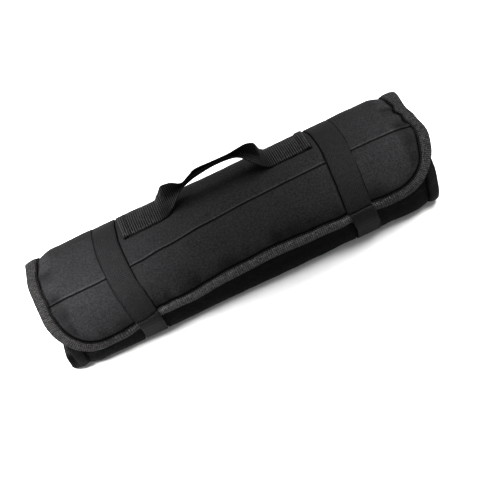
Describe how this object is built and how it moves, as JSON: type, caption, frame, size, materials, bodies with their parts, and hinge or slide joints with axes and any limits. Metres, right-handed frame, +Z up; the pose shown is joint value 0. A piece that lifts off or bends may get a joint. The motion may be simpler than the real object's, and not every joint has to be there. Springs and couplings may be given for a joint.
{
  "type": "chef knife roll",
  "caption": "Rolled-up padded nylon knife roll with bound edges, two elastic bands round it and a webbing carry handle on top, lying closed on a surface.",
  "frame": {"origin": "centre of the bounding box on the surface the roll lies on", "axes": "+X along the roll, +Y towards its back where the handle is, -Y towards the flap's free edge, +Z up"},
  "size_m": [0.4774, 0.1406, 0.1431],
  "materials": {
    "panel_nylon": "matte plain-weave nylon over thin padding",
    "binding_tape": "matte ribbed tape",
    "elastic_band": "matte woven elastic",
    "handle_webbing": "coarse woven webbing"
  },
  "bodies": {
    "root": {"padded_panel": "panel_nylon", "edge_binding": "binding_tape", "elastic_strap_left": "elastic_band", "elastic_strap_right": "elastic_band", "carry_handle": "handle_webbing"}
  },
  "joints": []
}
